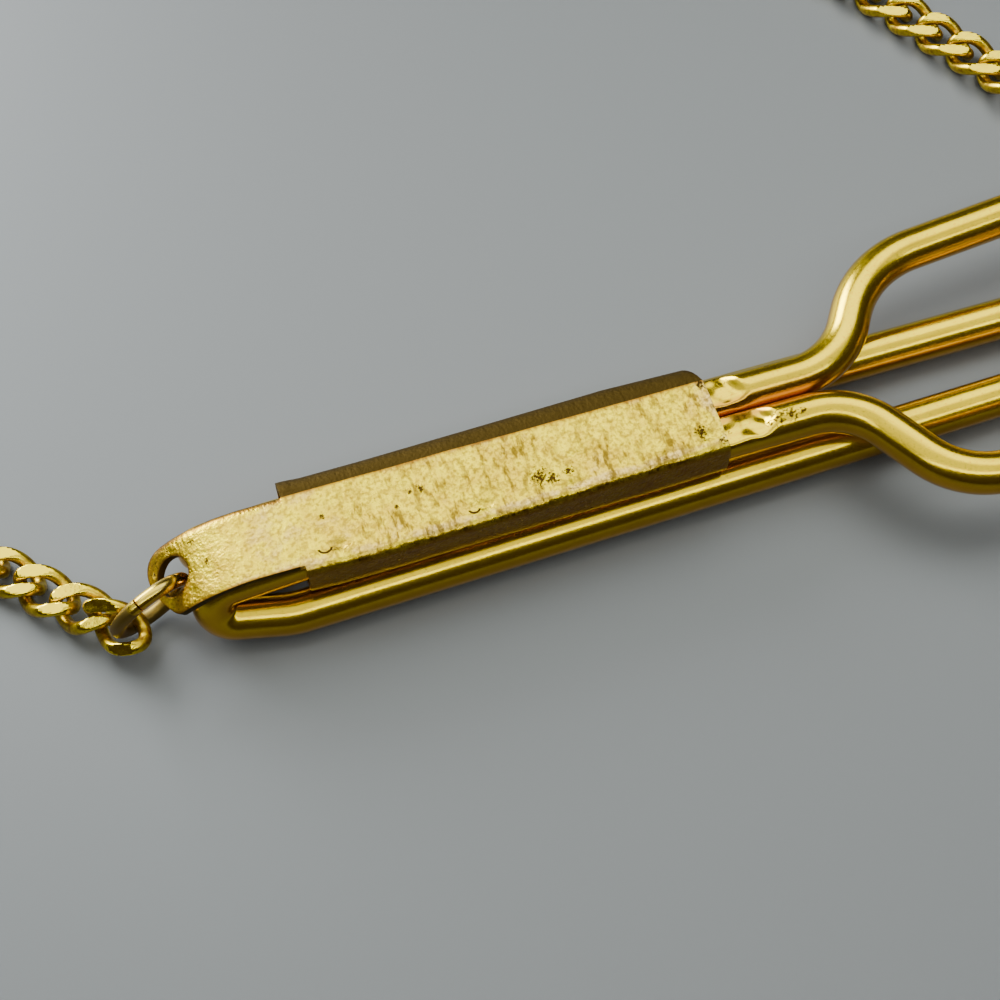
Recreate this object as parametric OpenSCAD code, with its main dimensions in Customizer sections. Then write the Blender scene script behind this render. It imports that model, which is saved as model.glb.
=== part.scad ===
// Tie bar: a spring wire clip with a crimped sleeve, a pierced tongue and a keeper chain.
// Lengths are in millimetres. The clip lies along X, its jaws open towards +X, and Z is up.
// The part rests on Z = 0, and the origin is under the middle of its bounding box.

/* [Wire] */
// Diameter of the spring wire
wire_d = 1.4; // [1.2:0.05:1.45]
// Height of the upper strands' centre line
upper_z = 2.36; // [2.34:0.01:2.6]
// Half the distance between the strands inside the sleeve
pair_y = 0.73; // [0.73:0.01:0.76]
// Half the distance between the strands of the upper jaw
jaw_y = 4.7; // [4.5:0.05:5]
// Right end of the upper jaw's centre line
upper_end_x = 22.4; // [22:0.1:26]
// Right end of the lower jaw's centre line
lower_end_x = 20.5; // [18:0.1:24]
// Left end of the folds' centre line
fold_x = -17.24; // [-17.5:0.01:-17]
// Bend radius of the folds
fold_r = 0.73; // [0.71:0.01:0.73]

/* [Sleeve] */
// Left end of the sleeve
sleeve_x0 = -14.3; // [-14.4:0.1:-12]
// Right end of the sleeve, at its mouth
sleeve_x1 = -0.4; // [-1:0.1:0]
// Outside width of the sleeve
sleeve_w = 3.54; // [3.45:0.01:3.7]
// Thickness of the sheet
sheet = 0.25; // [0.2:0.01:0.26]
// Gap between the strands and the sheet
slack = 0.04; // [0.03:0.01:0.06]
// Width of the seam under the sleeve
seam_w = 0.2; // [0.1:0.05:0.4]

/* [Tongue] */
// Half the width of the tongue
tongue_half_w = 1.24; // [1.1:0.01:1.3]
// Sideways offset of the tongue
tongue_y = -0.18; // [-0.2:0.01:0.1]
// Left end of the tongue's flat stretch
curl_x = -15.54; // [-15.8:0.01:-15.2]
// Outside radius of the tongue's curl
curl_r = 4.52; // [4.3:0.01:5]
// Angle of the curl
curl_angle = 48.6; // [47:0.1:50]
// Length of the rounded tip
tip_l = 0.98; // [0.8:0.01:1.1]
// How far the tip leans to the back
tip_lean = 0.5; // [0:0.05:0.6]
// Angle along the curl to the middle of the hole
hole_angle = 36.6; // [34:0.1:38]
// Sideways offset of the hole
hole_y = -0.13; // [-0.2:0.01:0]
// Diameter of the hole
hole_d = 1.3; // [1.25:0.01:1.4]

/* [Chain] */
// Number of links
link_count = 70; // [69:1:70]
// Diameter of a link's wire
link_wire_d = 0.4; // [0.36:0.01:0.41]
// Half the length of a link's centre line
link_half_l = 1.05; // [1:0.01:1.08]
// Half the width of a link's centre line
link_half_w = 0.63; // [0.6:0.01:0.66]
// Twist of a link's ends about its length
link_twist = -60; // [-62:1:-55]
// Height of the flat facets above a link's middle
facet_z = 0.42; // [0.4:0.01:0.5]

/* [Rings] */
// Diameter of the jump rings' wire
ring_wire_d = 0.48; // [0.44:0.01:0.54]
// Radius of the left ring's centre line
ring_left_r = 1.26; // [1.24:0.01:1.3]
// Radius of the right ring's centre line
ring_right_r = 1.6; // [1.58:0.01:1.7]
// Opening of each ring at its butt joint, in degrees
ring_gap = 2; // [1:0.5:4]

/* [Hidden] */

brass = [0.74, 0.6, 0.24];
chain_brass = [0.82, 0.66, 0.25];

// The middle of the bounding box, in the frame that the sizes above use
middle = [-3.487, 16.33];

wire_r = wire_d / 2;
wire_sides = 14;
lower_z = wire_r * cos(180 / wire_sides);
sheet_out = wire_r + slack + sheet;
sleeve_top = upper_z + sheet_out;

// The strands leave the sleeve side by side and splay at these corners
splay_in_x = 4.25;
splay_out_x = 6.5;
splay_front_y = 4.42;
splay_back_y = 4.05;
splay_in_r = 2.7;
splay_out_r = 3.2;
level_x = 12.5;
jaw_end_r = 3.8;

// The lower strands run a little askew, as bent wire does
lower_front_y0 = -1.37;
lower_front_slope = 0.0224;
lower_back_y = 1.6;
lower_bend_x = -14.9;
lower_bend_r = 3;
fold_upper_x = -14.3;
fold_upper_y = 0.76;
fold_upper_z = 2.15;
fold_lower_y = 1.24;
fold_lower_z = 0.87;

function lower_front_y(x) = lower_front_y0 + lower_front_slope * x;
lower_end_r = (lower_back_y - lower_front_y(lower_end_x)) / 2 - 0.02;

// Corners of the wire's centre line, one row each: x, y, z, bend radius
corners = [
    [upper_end_x, -jaw_y, upper_z, jaw_end_r],
    [level_x, -jaw_y, upper_z, 12],
    [splay_out_x, -splay_front_y, upper_z, splay_out_r],
    [splay_in_x, -pair_y, upper_z, splay_in_r],
    [fold_upper_x, -pair_y, upper_z, 3],
    [fold_x, -fold_upper_y, fold_upper_z, fold_r],
    [fold_x, -fold_lower_y, fold_lower_z, fold_r],
    [lower_bend_x, lower_front_y(lower_bend_x), lower_z, lower_bend_r],
    [lower_end_x, lower_front_y(lower_end_x), lower_z, lower_end_r],
    [lower_end_x, lower_back_y, lower_z, lower_end_r],
    [lower_bend_x, lower_back_y, lower_z, lower_bend_r],
    [fold_x, fold_lower_y, fold_lower_z, fold_r],
    [fold_x, fold_upper_y, fold_upper_z, fold_r],
    [fold_upper_x, pair_y, upper_z, 3],
    [splay_in_x, pair_y, upper_z, splay_in_r],
    [splay_out_x, splay_back_y, upper_z, splay_out_r],
    [level_x, jaw_y - 0.06, upper_z, 12],
    [upper_end_x, jaw_y - 0.06, upper_z, jaw_end_r]
];
corner_count = len(corners);

function unit(v) = v / norm(v);
function place(i) = let(c = corners[(i + corner_count) % corner_count]) [c[0], c[1], c[2]];
function way_in(i) = unit(place(i) - place(i - 1));
function way_out(i) = unit(place(i + 1) - place(i));
function turn(i) = acos(max(-1, min(1, way_in(i) * way_out(i))));
function bend_r(i) = corners[(i + corner_count) % corner_count][3];
function tangent_length(i) = bend_r(i) * tan(turn(i) / 2);

fold_middle = [-16.5, (upper_z + lower_z) / 2];

// Points of the bend at corner i, an arc from the way in to the way out
function bend_points(i) =
    let(u = way_in(i), v = unit(way_out(i) - (way_out(i) * u) * u),
        start = place(i) - tangent_length(i) * u, steps = ceil(turn(i) / 12) + 1)
    [for (k = [0 : steps])
        let(a = turn(i) * k / steps)
        [start + bend_r(i) * (sin(a) * u + (1 - cos(a)) * v), cos(a) * u + sin(a) * v]];

// The way that the wire's first facet faces: up, down, or away from the middle of a fold
function facing(p) = [min(0, p[0] - fold_middle[0]), 0, p[2] - fold_middle[1]];

module spring_wire() {
    path = [for (i = [0 : corner_count - 1]) each bend_points(i)];
    points = [
        for (step = path)
            let(way = step[1], side = unit(cross(way, facing(step[0]))), up = cross(side, way))
            for (j = [0 : wire_sides - 1])
                let(a = 360 * (j + 0.5) / wire_sides)
                step[0] + wire_r * (cos(a) * up + sin(a) * side)
    ];
    color(brass) polyhedron(points, tube_faces(len(path), wire_sides));
}

// Faces of a closed tube whose points come ring by ring
function tube_faces(rings, sides) = [
    for (i = [0 : rings - 1]) for (j = [0 : sides - 1])
        let(i2 = (i + 1) % rings, j2 = (j + 1) % sides,
            a = i * sides + j, b = i * sides + j2, c = i2 * sides + j2, d = i2 * sides + j)
        each [[a, c, b], [a, d, c]]
];

// The sleeve's section: a crisp front top corner, a rolled back top corner and a full round bottom.
// grow is the sheet's thickness for the outside and 0 for the inside.
module sleeve_section(grow) {
    half_w = sleeve_w / 2 - sheet + grow;
    half_h = wire_r + slack + grow;
    front_r = grow + 0.03;
    back_r = grow + 0.3;
    bottom_y = half_w - half_h;
    translate([-half_w + front_r, half_h - front_r]) circle(front_r, $fn = 32);
    translate([half_w - back_r, half_h - back_r]) circle(back_r, $fn = 48);
    for (side = [-1, 1])
        translate([side * bottom_y, 0]) circle(half_h, $fn = 64);
    polygon([
        [-half_w, 0], [-half_w, half_h - front_r], [-half_w + front_r, half_h],
        [half_w - back_r, half_h], [half_w, half_h - back_r], [half_w, 0],
        [bottom_y, -half_h], [-bottom_y, -half_h]
    ]);
}

module along_x(x0, x1) {
    translate([x0, 0, upper_z])
        rotate([90, 0, 90]) linear_extrude(x1 - x0) children();
}

// Where a point of the curl's top lies along X, arc_l millimetres along the curl
function curl_at(arc_l) = curl_x - curl_r * sin(arc_l / curl_r * 180 / PI);

// The sheet's flat stretch and curl, cut to the tongue's outline
module tongue() {
    straight_l = curl_angle / 180 * PI * curl_r - tip_l;
    root_x = sleeve_x0 + 0.5;
    intersection() {
        union() {
            translate([curl_x, tongue_y - 2, sleeve_top - sheet])
                cube([root_x - curl_x, 4, sheet]);
            translate([curl_x, tongue_y + 2, sleeve_top - curl_r])
                rotate([90, 0, 0]) linear_extrude(4)
                    difference() {
                        circle(curl_r, $fn = 128);
                        circle(curl_r - sheet, $fn = 128);
                        translate([0, -curl_r - 1]) square(2 * curl_r + 2);
                        rotate(93 + curl_angle)
                            square([2 * curl_r, 2 * curl_r]);
                        translate([-curl_r - 1, -2 * curl_r]) square([2 * curl_r + 2, 2 * curl_r]);
                    }
        }
        linear_extrude(2 * sleeve_top, center = true)
            translate([0, tongue_y])
                polygon([
                    [root_x, tongue_half_w],
                    for (a = [0 : 6 : 180])
                        [curl_at(straight_l + tip_l * sin(a) * (1 + tip_lean * cos(a))), tongue_half_w * cos(a)],
                    [root_x, -tongue_half_w]
                ]);
    }
}

module sleeve() {
    color(brass)
        difference() {
            union() {
                difference() {
                    along_x(sleeve_x0, sleeve_x1) sleeve_section(sheet);
                    along_x(sleeve_x0 - 1, sleeve_x1 + 1) sleeve_section(0);
                    translate([sleeve_x0 - 1, -seam_w / 2, 0])
                        cube([sleeve_x1 - sleeve_x0 + 2, seam_w, upper_z]);
                }
                tongue();
            }
            translate([curl_x, hole_y, sleeve_top - curl_r])
                rotate([0, -hole_angle, 0])
                    cylinder(h = 2 * curl_r, d = hole_d, $fn = 64);
        }
}

// A jump ring whose axis points along azimuth and elevation, with its butt joint at joint_angle
module jump_ring(centre, radius, azimuth, elevation, joint_angle) {
    translate(centre)
        rotate([0, 90 - elevation, azimuth])
            rotate([0, 0, joint_angle + ring_gap / 2])
                rotate_extrude(angle = 360 - ring_gap, $fn = 96)
                    translate([radius, 0]) circle(d = ring_wire_d, $fn = 32);
}

module ring_left() {
    color(brass) jump_ring([-19.13, -0.49, 1.62], ring_left_r, 112.8, 13.1, 100);
}

module ring_right() {
    color(brass) jump_ring([18.67, 4.74, 1.9], ring_right_r, 18, 0, 100);
}

// The chain's way over the table, from the left ring to the right ring
route = [
    [-20.35, -0.55, 0.86], [-21.85, 1.1, 0.6], [-23.25, 2.45, 0.46], [-25.6, 4.9, 0.46], [-27.9, 8.8, 0.46],
    [-29.1, 14, 0.46], [-29.1, 20.4, 0.46], [-27.4, 27, 0.46], [-23.1, 33, 0.46], [-16, 36.8, 0.46],
    [-7.8, 36.8, 0.46], [-0.4, 33, 0.46], [5.4, 26.6, 0.46], [10, 19.9, 0.46], [14.2, 13.1, 0.46],
    [16.7, 8.8, 0.8], [18.1, 6.37, 1.47]
];
last_leg = len(route) - 1;

// A point on the smooth curve through the route, at leg number floor(t)
function route_at(t) =
    let(k = min(floor(t), last_leg - 1), f = t - k,
        a = route[max(k - 1, 0)], b = route[k], c = route[k + 1], d = route[min(k + 2, last_leg)])
    0.5 * (2 * b + (c - a) * f + (2 * a - 5 * b + 4 * c - d) * f * f + (3 * b - a - 3 * c + d) * f * f * f);

samples_per_leg = 40;
function route_length(i) =
    i == 0 ? 0
    : route_length(i - 1) + norm(route_at(i / samples_per_leg) - route_at((i - 1) / samples_per_leg));
pitch = route_length(last_leg * samples_per_leg) / (link_count - 1);

// One pitch further along the route, closed in on in a few steps
function next_t(t, guess, steps) =
    steps == 0 ? guess
    : next_t(t, t + (guess - t) * pitch / norm(route_at(guess) - route_at(t)), steps - 1);
function march(count, t) = count == 0 ? [] : concat([t], march(count - 1, next_t(t, t + 0.4, 6)));
link_ts = march(link_count, 0);

// Turns the vector p by a roll about X, then a tilt, then a heading
function turned(p, roll, tilt, heading) =
    let(y = p[1] * cos(roll) - p[2] * sin(roll), z = p[1] * sin(roll) + p[2] * cos(roll),
        x = p[0] * cos(tilt) - z * sin(tilt), up = p[0] * sin(tilt) + z * cos(tilt))
    [x * cos(heading) - y * sin(heading), x * sin(heading) + y * cos(heading), up];

// A point of the link's centre line: an oval, squared a little, with its ends twisted opposite ways
function bowed(v, power) = sign(v) * pow(abs(v), power);
function oval_at(angle) =
    let(x = link_half_l * bowed(cos(angle), 0.9), y = link_half_w * sin(angle),
        twist = link_twist * x / link_half_l)
    [x, y * cos(twist), y * sin(twist)];

link_segments = 12;
link_sides = 5;

// A curb link, a closed tube with flat facets above and below
module link(centre, roll, tilt, heading) {
    rings = [
        for (i = [0 : link_segments - 1])
            let(angle = 360 * i / link_segments, here = oval_at(angle),
                way = unit(oval_at(angle + 3) - oval_at(angle - 3)),
                out = unit(here - (here * way) * way), side = cross(way, out))
            [for (j = [0 : link_sides - 1])
                let(a = 360 * (j + 0.5) / link_sides,
                    p = here + link_wire_d / 2 * (cos(a) * out + sin(a) * side))
                [p[0], p[1], max(-facet_z, min(facet_z, p[2]))]]
    ];
    points = [for (ring = rings) for (p = ring) centre + turned(p, roll, tilt, heading)];
    polyhedron(points, tube_faces(link_segments, link_sides));
}

// The end links hang on the rings: x, y, z, roll, tilt and heading of the first three and the last three
first_links = [
    [-20.36, -0.57, 1.07, -37.5, 2.7, 127.8],
    [-21.23, 0.4, 0.73, -5.9, -9.9, 142.5],
    [-22.28, 1.39, 0.64, -6.9, -4.1, 131.4]
];
last_links = [
    [16.76, 8.7, 0.82, -0.1, 13, -58],
    [17.39, 7.62, 1.15, 12.4, 14, -59.7],
    [18.1, 6.37, 1.47, 8.5, 7, -62.3]
];

// The same six values for a link that lies along the route
function lying(t) =
    let(p = route_at(t), way = route_at(t + 0.02) - route_at(t - 0.02))
    [p[0], p[1], p[2], 0, atan2(way[2], norm([way[0], way[1]])), atan2(way[1], way[0])];

module chain() {
    poses = [
        each first_links,
        for (i = [3 : link_count - 4]) lying(link_ts[i]),
        each last_links
    ];
    color(chain_brass)
        for (p = poses)
            link([p[0], p[1], p[2]], p[3], p[4], p[5]);
}

module centred() {
    translate([-middle[0], -middle[1], 0]) children();
}

centred() spring_wire();
centred() sleeve();
centred() ring_left();
centred() chain();
centred() ring_right();
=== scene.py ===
"""A gilt wire tie clip with a keeper chain, dressed for its render.

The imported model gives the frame. Every piece is drawn in millimetres along the clip and moved
into the frame's metres by to_frame. The clip lies along X with its jaws open to the right.
"""

import math

import bpy
from bpy.props import FloatProperty, FloatVectorProperty, IntProperty, PointerProperty
from mathutils import Euler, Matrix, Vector, noise


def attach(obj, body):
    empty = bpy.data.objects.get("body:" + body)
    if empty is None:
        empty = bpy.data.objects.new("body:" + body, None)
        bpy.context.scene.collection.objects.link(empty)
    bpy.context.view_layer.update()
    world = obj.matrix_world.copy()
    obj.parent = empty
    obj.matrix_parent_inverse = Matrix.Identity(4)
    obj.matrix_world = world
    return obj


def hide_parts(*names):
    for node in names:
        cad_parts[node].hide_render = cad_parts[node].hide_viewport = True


bl_info = {
    "name": "Tie clip with a keeper chain",
    "version": (1, 0, 0),
    "blender": (4, 5, 0),
    "location": "View3D > Sidebar > Tie clip",
    "description": "Builds a gilt wire tie clip, its sleeve, rings and curb chain",
    "category": "Add Mesh",
}

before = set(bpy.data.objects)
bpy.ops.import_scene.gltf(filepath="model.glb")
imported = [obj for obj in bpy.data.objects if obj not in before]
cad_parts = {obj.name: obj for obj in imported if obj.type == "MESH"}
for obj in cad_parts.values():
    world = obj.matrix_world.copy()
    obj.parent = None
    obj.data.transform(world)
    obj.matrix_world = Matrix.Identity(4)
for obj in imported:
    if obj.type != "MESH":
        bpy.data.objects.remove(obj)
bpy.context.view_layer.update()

MM = 0.001
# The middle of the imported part's box, in the clip's own millimetres
MIDDLE = Vector((-3.487, 16.33, 0.0))


def to_frame(point):
    """A point in the clip's millimetres, in the frame's metres."""
    return (Vector(point) - MIDDLE) * MM


def srgb(hex_colour):
    """A hex colour such as C9A13B as linear red, green, blue and alpha."""
    channels = [int(hex_colour[i:i + 2], 16) / 255 for i in (0, 2, 4)]
    linear = [c / 12.92 if c <= 0.04045 else ((c + 0.055) / 1.055) ** 2.4 for c in channels]
    return (*linear, 1.0)


def rise(value, low, high):
    """0 below low, 1 above high, and a smooth step between."""
    t = min(1, max(0, (value - low) / (high - low)))
    return t * t * (3 - 2 * t)


def bell(value, centre, width):
    """1 at the centre, and a smooth fall to nearly 0 over twice the width."""
    return math.exp(-((value - centre) / width) ** 2)


def table_at(table, x):
    """Reads a short table of (x, value) rows between its rows."""
    for (x0, v0), (x1, v1) in zip(table, table[1:]):
        if x <= x1:
            return v0 + (v1 - v0) * max(0, (x - x0) / (x1 - x0))
    return table[-1][1]


class WireSettings(bpy.types.PropertyGroup):
    radius: FloatProperty(
        name="Wire radius", description="Radius of the spring wire", default=0.7 * MM, unit="LENGTH")
    sides: IntProperty(name="Sides", description="Points round the wire", default=48)
    colour: FloatVectorProperty(
        name="Gilding", description="Colour of the gilt wire", subtype="COLOR", size=4,
        default=srgb("F2D41C"), min=0, max=1)


class SleeveSettings(bpy.types.PropertyGroup):
    sheet: FloatProperty(
        name="Sheet", description="Thickness of the folded sheet", default=0.25 * MM, unit="LENGTH")
    curl_radius: FloatProperty(
        name="Curl radius", description="Outside radius of the tongue's curl",
        default=4.52 * MM, unit="LENGTH")
    hole_radius: FloatProperty(
        name="Hole radius", description="Radius of the hole in the tongue",
        default=0.645 * MM, unit="LENGTH")
    colour: FloatVectorProperty(
        name="Gilding", description="Colour of the gilt sheet", subtype="COLOR", size=4,
        default=srgb("F4DE1A"), min=0, max=1)
    worn_colour: FloatVectorProperty(
        name="Worn metal", description="Colour where the gilding is rubbed thin", subtype="COLOR",
        size=4, default=srgb("E2C474"), min=0, max=1)


class ChainSettings(bpy.types.PropertyGroup):
    links: IntProperty(name="Links", description="Number of links in the chain", default=70)
    link_wire: FloatProperty(
        name="Link wire", description="Thickness of a link's wire", default=0.44 * MM, unit="LENGTH")
    ring_wire: FloatProperty(
        name="Ring wire", description="Thickness of the jump rings' wire", default=0.48 * MM,
        unit="LENGTH")
    colour: FloatVectorProperty(
        name="Gilding", description="Colour of the gilt links", subtype="COLOR", size=4,
        default=srgb("F0D626"), min=0, max=1)
    ring_colour: FloatVectorProperty(
        name="Ring gilding", description="Colour of the tarnished jump rings", subtype="COLOR", size=4,
        default=srgb("DCC460"), min=0, max=1)


class StageSettings(bpy.types.PropertyGroup):
    floor_colour: FloatVectorProperty(
        name="Floor", description="Colour of the pale floor", subtype="COLOR", size=4,
        default=srgb("72777A"), min=0, max=1)
    lens: FloatProperty(
        name="Lens", description="Focal length of the camera in millimetres", default=72.0, unit="CAMERA")


def add_object(name, mesh_or_curve):
    """An object at the origin that shows a mesh, a curve, a light or a camera."""
    piece = bpy.data.objects.new(name, mesh_or_curve)
    bpy.context.scene.collection.objects.link(piece)
    return piece


def apply_modifiers(piece):
    """Turns what the modifiers make of a piece into its plain mesh."""
    graph = bpy.context.evaluated_depsgraph_get()
    mesh = bpy.data.meshes.new_from_object(piece.evaluated_get(graph))
    piece.modifiers.clear()
    if piece.type == "MESH":
        piece.data = mesh
        return piece
    done = add_object(piece.name + "_mesh", mesh)
    bpy.data.objects.remove(piece)
    return done


def add_node(tree, kind, inputs=None, stops=(), **settings):
    """Adds a node with its settings. Each input, by name or number, takes a plain value or another
    node's output, and a ramp takes two (position, grey or colour) stops."""
    made = tree.nodes.new(kind)
    for key, value in settings.items():
        setattr(made, key, value)
    for key, value in (inputs or {}).items():
        if isinstance(value, bpy.types.NodeSocket):
            tree.links.new(value, made.inputs[key])
        else:
            made.inputs[key].default_value = value
    for i, (position, value) in enumerate(stops):
        stop = made.color_ramp.elements[i]
        stop.position = position
        stop.color = value if isinstance(value, tuple) else (value, value, value, 1)
    return made


# Materials

ATTRIBUTE = "ShaderNodeAttribute"
MATH = "ShaderNodeMath"
MIX = "ShaderNodeMix"
NOISE = "ShaderNodeTexNoise"
RAMP = "ShaderNodeValToRGB"
RANGE = "ShaderNodeMapRange"
VECTOR_MATH = "ShaderNodeVectorMath"

# Clusters of corrosion pits: x, y, z and radius
SHEET_PITS = [
    (-6.45, -0.7, 3.35, 0.42), (-6.05, -0.85, 3.35, 0.3), (-5.5, -0.75, 3.35, 0.22),
    (-1.05, -0.72, 3.35, 0.3), (-13.31, 0.01, 3.35, 0.14), (-10.46, 0.03, 3.35, 0.13),
    (-10.13, 0.05, 3.35, 0.17), (-10.98, -0.33, 3.35, 0.12), (-17.41, 0.6, 2.94, 0.15),
    (-18.2, 0.7, 2.49, 0.14), (-17.05, -0.25, 3.09, 0.14), (-18.76, 0.3, 2.0, 0.15),
    (-0.5, 0.9, 3.35, 0.25), (-0.45, -1.2, 3.3, 0.25),
]
WIRE_PITS = [
    (-0.1, 1.1, 3.0, 0.3), (0.3, 0.98, 3.0, 0.32), (0.5, 1.1, 2.95, 0.2), (1.2, -0.88, 3.0, 0.24),
    (1.6, -0.78, 3.0, 0.36), (2.0, -0.8, 3.0, 0.36), (2.4, -0.8, 3.0, 0.22), (-0.1, -0.8, 2.95, 0.2),
    (3.2, -0.95, 2.9, 0.16), (1.9, 1.1, 2.9, 0.14),
]
# Brown dull stretches of the left ring, partly stain and partly painted shade on its lower arc: x, y, z
# and radius, each with a soft border this wide
RING_STAINS_AND_SHADE = [(-20.25, -0.95, 1.55, 1.42), (-19.1, -0.15, 0.4, 1.1)]
STAIN_AND_SHADE_BORDER = 0.08
# Crescent cuts in the sleeve's top: x, y and radius, each line this wide
CUTS = [(-13.5, -0.98, 0.22), (-8.72, -1.1, 0.18)]
CUT_WIDTH = 0.07
# The tongue has no press marks: they start and are full at these places along the clip
MARKS_START = -13.9
MARKS_FULL = -12.2


def grains(millimetres):
    """The scale of a noise on metres whose grains are this wide."""
    return 1 / (millimetres * MM)


def new_material(name):
    """A material with a shader, its output and the object's coordinates."""
    material = bpy.data.materials.new(name)
    material.use_nodes = True
    tree = material.node_tree
    tree.nodes.clear()
    shader = add_node(tree, "ShaderNodeBsdfPrincipled")
    add_node(tree, "ShaderNodeOutputMaterial", {"Surface": shader.outputs[0]})
    coordinates = add_node(tree, "ShaderNodeTexCoord").outputs["Object"]
    return material, tree, shader, coordinates


def finish_metal(tree, shader, tint, rough, layers, relief, strength, depth):
    """Lays (mask, colour, roughness) layers over a metal's tint and roughness, where a colour or a
    roughness may be None, and presses its relief this many millimetres deep."""
    for mask, colour, dullness in layers:
        if colour is not None:
            tint = add_node(tree, MIX, {0: mask, 6: tint, 7: colour}, data_type="RGBA").outputs[2]
        if dullness is not None:
            rough = add_node(tree, MIX, {0: mask, 2: rough, 3: dullness}).outputs[0]
    bump = add_node(tree, "ShaderNodeBump", {
        "Strength": strength, "Distance": depth * MM, "Height": relief})
    tree.links.new(tint, shader.inputs["Base Color"])
    tree.links.new(rough, shader.inputs["Roughness"])
    tree.links.new(bump.outputs[0], shader.inputs["Normal"])
    shader.inputs["Metallic"].default_value = 1.0


def highest(tree, masks):
    """One mask that is everywhere the highest of several."""
    total = masks[0]
    for mask in masks[1:]:
        total = add_node(tree, MATH, {0: total, 1: mask}, operation="MAXIMUM").outputs[0]
    return total


def nearness(tree, coordinates, place, far, near, most=1.0):
    """A mask round a place, from 0 at the far distance to most at the near one, in millimetres."""
    away = add_node(tree, VECTOR_MATH, {0: coordinates, 1: to_frame(place)}, operation="DISTANCE")
    return add_node(tree, RANGE, {
        "Value": away.outputs["Value"], "From Min": far * MM, "From Max": near * MM,
        "To Max": most}).outputs[0]


def spots(tree, coordinates, places):
    """A mask of ragged clusters of pits, given as (x, y, z, radius) in the clip's millimetres."""
    # Single pits are finer on the real clip, and are drawn this coarse so that they show
    ragged = add_node(tree, NOISE, {
        "Vector": coordinates, "Scale": grains(0.09), "Detail": 3.0, "Roughness": 0.6}).outputs["Fac"]
    # Towards a cluster's middle more of the noise is lifted over the ramp's threshold
    nearest = highest(tree, [nearness(tree, coordinates, spot[:3], spot[3], 0.0) for spot in places])
    depth = add_node(tree, MATH, {0: nearest, 1: 0.34, 2: ragged}, operation="MULTIPLY_ADD").outputs[0]
    inside = add_node(tree, MATH, {0: nearest, 1: 0.01}, operation="GREATER_THAN").outputs[0]
    only = add_node(tree, MATH, {0: depth, 1: inside}, operation="MULTIPLY").outputs[0]
    return add_node(tree, RAMP, {"Fac": only}, ((0.64, 0.0), (0.76, 1.0))).outputs["Color"]


def crescents(tree, coordinates, places):
    """A mask of small crescent cuts, given as (x, y, radius), each the near part of a thin circle."""
    parts = add_node(tree, "ShaderNodeSeparateXYZ", {"Vector": coordinates}).outputs
    flat = add_node(tree, "ShaderNodeCombineXYZ", {"X": parts["X"], "Y": parts["Y"]}).outputs["Vector"]
    cuts = []
    for x, y, radius in places:
        there = to_frame((x, y, 0))
        away = add_node(tree, VECTOR_MATH, {0: flat, 1: there}, operation="DISTANCE").outputs["Value"]
        thin = add_node(tree, MATH, {
            0: away, 1: radius * MM, 2: CUT_WIDTH / 2 * MM}, operation="COMPARE").outputs[0]
        near = add_node(tree, MATH, {
            0: parts["Y"], 1: there.y - 0.3 * radius * MM}, operation="LESS_THAN").outputs[0]
        cuts.append(add_node(tree, MATH, {0: thin, 1: near}, operation="MULTIPLY").outputs[0])
    return highest(tree, cuts)


def drawn_lines(tree):
    """Lines along a wire, from the tube's own length and ring attributes. A die's scratches are finer
    than 0.14 mm, and are drawn this coarse so that they show."""
    ring = add_node(tree, ATTRIBUTE, attribute_name="ring_place").outputs["Vector"]
    along = add_node(tree, ATTRIBUTE, attribute_name="along").outputs["Fac"]
    parts = add_node(tree, "ShaderNodeSeparateXYZ", {"Vector": ring}).outputs
    # The noise runs 20 times slower along the wire than round it
    slow = add_node(tree, MATH, {0: along, 1: 0.05}, operation="MULTIPLY").outputs[0]
    place = add_node(tree, "ShaderNodeCombineXYZ", {"X": parts["X"], "Y": parts["Y"], "Z": slow})
    return add_node(tree, NOISE, {
        "Vector": place.outputs["Vector"], "Scale": grains(0.14), "Detail": 3.0}).outputs["Fac"]


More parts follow.
